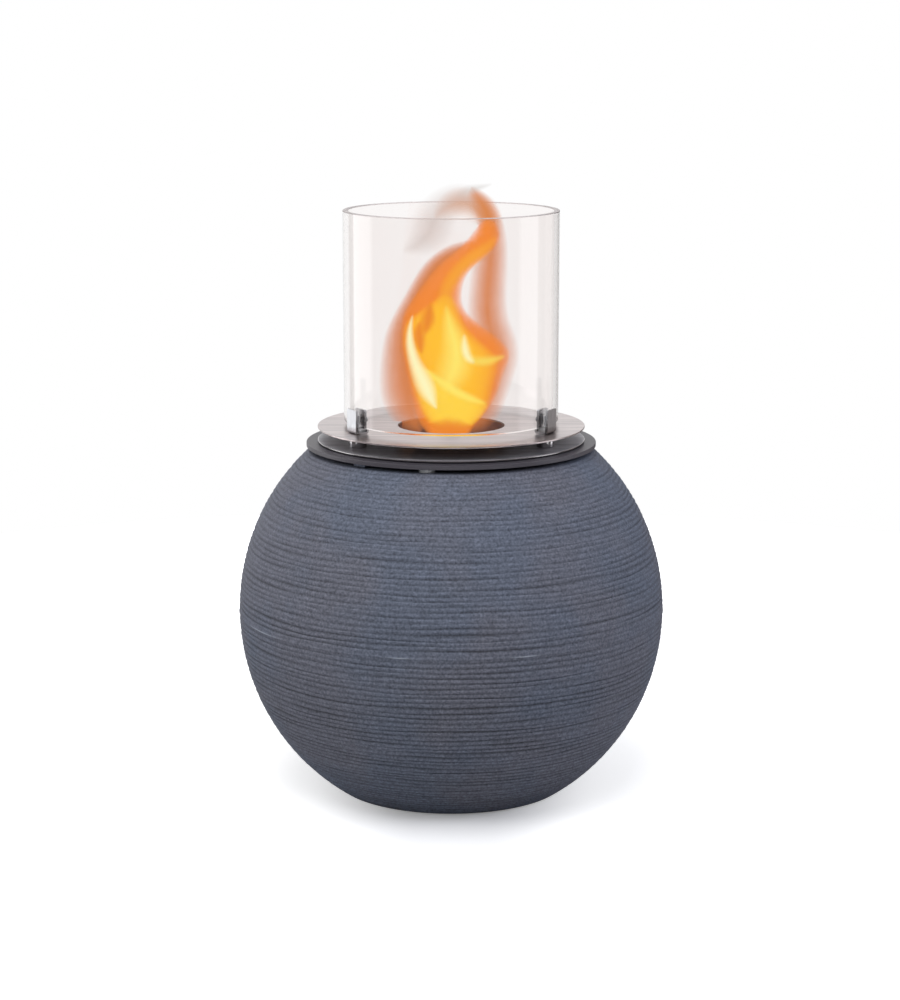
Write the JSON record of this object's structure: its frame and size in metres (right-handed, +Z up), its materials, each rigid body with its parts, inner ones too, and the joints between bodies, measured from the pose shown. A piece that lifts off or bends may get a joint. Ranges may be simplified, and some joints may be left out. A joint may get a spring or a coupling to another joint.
{
  "type": "bioethanol fireplace",
  "caption": "Round bioethanol fireplace: a ribbed grey globe with a steel burner on top and a glass cylinder around the flame",
  "frame": {"origin": "centre of the flat round base, on the floor", "axes": "+X to the right and +Y to the back, seen from the front; +Z up, along the axis of the globe, the burner and the glass"},
  "size_m": [0.3999, 0.4, 0.5471],
  "materials": {
    "moulded_grey": "matt",
    "grey_powder_coat": "satin",
    "polished_steel": "polished",
    "brushed_disc_steel": "brushed",
    "clip_steel": "brushed",
    "cup_steel": "drawn",
    "white_fibre": "matt",
    "clear_glass": "polished",
    "clear_silicone": "glossy",
    "black_silicone": "matt"
  },
  "bodies": {
    "globe": {"globe_shell": "moulded_grey", "cover_bumpers": "clear_silicone"},
    "cover": {"cover_plate": "grey_powder_coat", "cover_tabs": "grey_powder_coat"},
    "burner": {"flange_pads": "black_silicone", "burner_flange": "polished_steel", "standoff_front_left": "polished_steel", "standoff_front_right": "polished_steel", "standoff_rear": "polished_steel", "top_disc": "brushed_disc_steel", "fuel_cup": "cup_steel", "ceramic_fibre": "white_fibre", "glass_clip_front_left": "clip_steel", "glass_clip_front_right": "clip_steel", "glass_clip_rear": "clip_steel", "rest_pads": "black_silicone", "side_pads": "black_silicone"},
    "glass": {"glass_cylinder": "clear_glass"}
  },
  "joints": [
    {"name": "cover_lift", "type": "slide", "parent": "globe", "child": "cover", "axis": [0, 0, 1], "range_m": [0, 0.1]},
    {"name": "burner_lift", "type": "slide", "parent": "cover", "child": "burner", "axis": [0, 0, 1], "range_m": [0, 0.1]},
    {"name": "glass_lift", "type": "slide", "parent": "burner", "child": "glass", "axis": [0, 0, 1], "range_m": [0, 0.06]}
  ]
}
